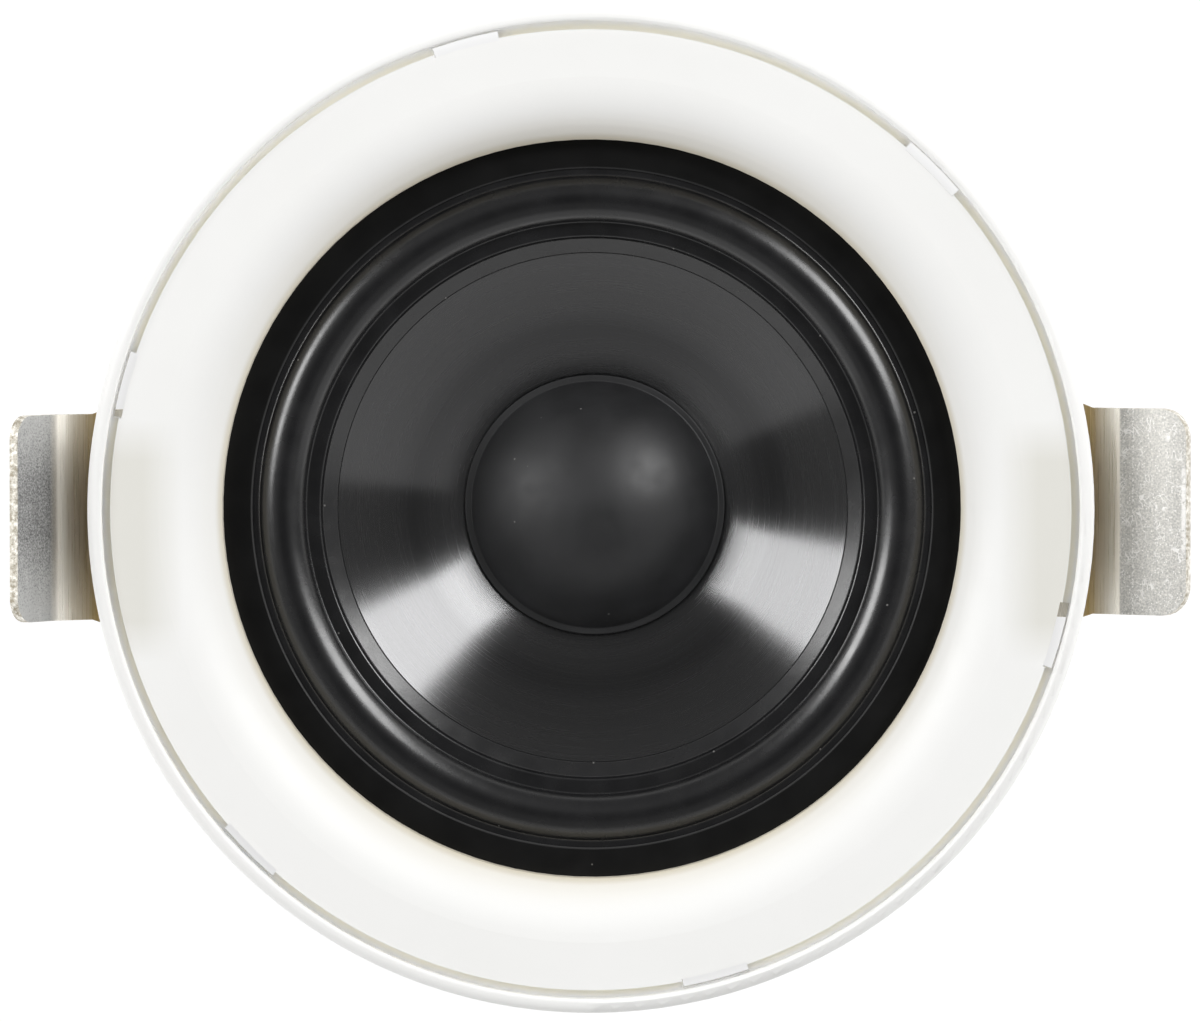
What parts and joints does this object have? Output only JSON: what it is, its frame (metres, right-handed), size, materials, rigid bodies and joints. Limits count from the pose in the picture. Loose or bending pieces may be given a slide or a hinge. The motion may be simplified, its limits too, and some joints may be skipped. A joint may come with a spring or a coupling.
{
  "type": "in-ceiling speaker",
  "caption": "Round white in-ceiling speaker with a black full-range cone driver in a funnel bezel, held in the ceiling cut-out by sprung steel clips.",
  "frame": {"origin": "centre of the flange's rear face, on the plane that meets the ceiling", "axes": "+Z out of the front, the way the speaker faces; +X towards the right clip; terminals at -Y"},
  "size_m": [0.1414, 0.1206, 0.0554],
  "materials": {
    "white_plastic": "warm white moulded plastic, fine satin",
    "black_gasket": "matte black rubber",
    "black_rubber": "black rubber with a soft sheen",
    "cone_metal": "black anodised aluminium with fine turned lines",
    "cap_rubber": "matte black, faintly smudged",
    "former_foil": "thin bright foil",
    "copper_wire": "enamelled copper",
    "spider_cloth": "resin treated cloth",
    "black_paint": "black painted stamped steel",
    "zinc_steel": "zinc plated steel",
    "ferrite": "dark grey ceramic ferrite",
    "phenolic_board": "brown paper laminate",
    "pin_steel": "plated steel",
    "tinned_brass": "tin plated brass",
    "tinsel_braid": "braided copper tinsel",
    "screw_steel": "black zinc plated steel",
    "clip_steel": "nickel plated sheet steel, scratched",
    "spring_steel": "plated spring wire"
  },
  "bodies": {
    "housing": {"bezel": "white_plastic", "front_gasket": "black_gasket", "surround": "black_rubber", "spider": "spider_cloth", "basket": "black_paint", "top_plate": "zinc_steel", "magnet": "ferrite", "back_plate": "zinc_steel", "terminal_board": "phenolic_board", "terminal_rivet": "pin_steel", "terminal_tab_wide": "tinned_brass", "terminal_tab_narrow": "tinned_brass", "tinsel_lead_right": "tinsel_braid", "tinsel_lead_left": "tinsel_braid", "driver_screws": "screw_steel", "clip_pin_right": "pin_steel", "clip_pin_left": "pin_steel", "clip_spring_right": "spring_steel", "clip_spring_left": "spring_steel"},
    "cone_assembly": {"cone": "cone_metal", "dust_cap": "cap_rubber", "coil_former": "former_foil", "coil_winding": "copper_wire"},
    "right_clip": {"clip_right": "clip_steel"},
    "left_clip": {"clip_left": "clip_steel"}
  },
  "joints": [
    {"name": "cone_travel", "type": "slide", "parent": "housing", "child": "cone_assembly", "axis": [0, 0, 1], "range_m": [-0.003, 0.003], "stiffness_N_per_m": 1200, "deforming": ["surround", "spider", "tinsel_lead_right", "tinsel_lead_left"]},
    {"name": "right_clip_swing", "type": "hinge", "parent": "housing", "child": "right_clip", "pos_m": [0.0476, 0, -0.01561], "axis": [0, 1, 0], "range_deg": [0, 135], "stiffness_Nm_per_rad": 0.12, "springref_deg": -34.38, "deforming": ["clip_spring_right"]},
    {"name": "left_clip_swing", "type": "hinge", "parent": "housing", "child": "left_clip", "pos_m": [-0.0476, 0, -0.01561], "axis": [0, -1, 0], "range_deg": [0, 135], "stiffness_Nm_per_rad": 0.12, "springref_deg": -34.38, "deforming": ["clip_spring_left"]}
  ]
}
